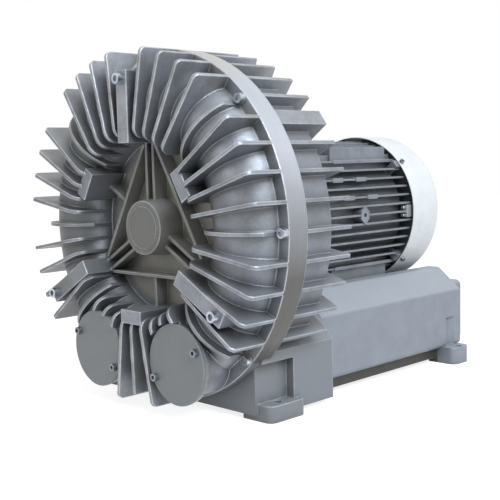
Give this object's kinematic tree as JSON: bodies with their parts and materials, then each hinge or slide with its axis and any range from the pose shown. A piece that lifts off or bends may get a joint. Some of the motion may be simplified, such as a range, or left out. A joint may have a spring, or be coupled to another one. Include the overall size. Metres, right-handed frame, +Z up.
{
  "type": "side channel blower",
  "caption": "Side channel blower with finned round casing, ribbed electric motor behind it, two silencers as base and two blanked front ports.",
  "frame": {"origin": "centre of the rectangle of four foot holes, on the floor plane", "axes": "+Z up, shaft along Y, finned cover facing -Y, motor and ports towards +Y, +X to the right seen from the cover"},
  "size_m": [0.6, 0.7575, 0.613],
  "materials": {
    "casting": "as-cast, satin, blasted and lacquered grey",
    "silencer_paint": "fine textured grey paint on a casting",
    "lid_paint": "smooth flat grey paint",
    "cap_cast": "fine machined and lacquered",
    "motor_paint": "satin grey paint on a ribbed casting",
    "cowl_paint": "satin off-white paint on drawn sheet",
    "zinc_screw": "bright zinc plated",
    "machined_steel": "turned and ground",
    "bearing_steel": "ground and polished",
    "cage_steel": "pressed steel and balls",
    "impeller_cast": "as-cast, turned on the lands",
    "lamination": "stacked sheets, oiled",
    "winding": "varnished copper wire",
    "seal_rubber": "moulded black rubber",
    "gasket_fibre": "flat fibre-reinforced sheet",
    "tube_steel": "perforated galvanised sheet",
    "foam": "open-cell absorbing foam",
    "box_paint": "satin grey paint",
    "board_plastic": "brown moulded board",
    "gland_plastic": "dark grey moulded nylon",
    "fan_plastic": "black moulded plastic"
  },
  "bodies": {
    "housing": {"front_cover": "casting", "rear_housing": "casting", "casing_seal": "seal_rubber", "bearing_cap": "cap_cast", "port_cover_screws": "zinc_screw", "flange_screws": "zinc_screw", "cover_bar_screws": "zinc_screw", "front_bearing_outer": "bearing_steel", "rear_bearing_outer": "bearing_steel", "rear_bearing_circlip": "machined_steel", "shaft_seal": "seal_rubber", "drive_end_shield": "motor_paint", "motor_frame": "motor_paint", "motor_flange_screws": "zinc_screw", "stator_core": "lamination", "stator_windings": "winding", "rear_end_shield": "motor_paint", "end_shield_screws": "zinc_screw", "fan_cowl": "cowl_paint", "fan_cowl_screws": "zinc_screw", "terminal_box": "box_paint", "terminal_box_gasket": "seal_rubber", "terminal_box_lid": "box_paint", "terminal_box_screws": "zinc_screw", "terminal_block": "board_plastic", "cable_gland": "gland_plastic", "port_cover_left": "lid_paint", "port_gasket_left": "gasket_fibre", "silencer_left": "silencer_paint", "silencer_gasket_left": "gasket_fibre", "silencer_tube_left": "tube_steel", "silencer_liner_left": "foam", "port_flange_left": "silencer_paint", "port_flange_gasket_left": "gasket_fibre", "silencer_tie_rods_left": "zinc_screw", "port_cover_right": "lid_paint", "port_gasket_right": "gasket_fibre", "silencer_right": "silencer_paint", "silencer_gasket_right": "gasket_fibre", "silencer_tube_right": "tube_steel", "silencer_liner_right": "foam", "port_flange_right": "silencer_paint", "port_flange_gasket_right": "gasket_fibre", "silencer_tie_rods_right": "zinc_screw"},
    "rotor": {"shaft": "machined_steel", "impeller": "impeller_cast", "impeller_key": "machined_steel", "impeller_washer": "machined_steel", "impeller_nut": "machined_steel", "front_bearing_inner": "bearing_steel", "front_bearing_balls": "cage_steel", "rear_bearing_inner": "bearing_steel", "rear_bearing_balls": "cage_steel", "rotor_core": "lamination", "cooling_fan": "fan_plastic", "fan_circlip": "machined_steel"}
  },
  "joints": [
    {"name": "rotor_spin", "type": "hinge", "parent": "housing", "child": "rotor", "pos_m": [0, -0.295, 0.313], "axis": [0, 1, 0], "continuous": true}
  ]
}
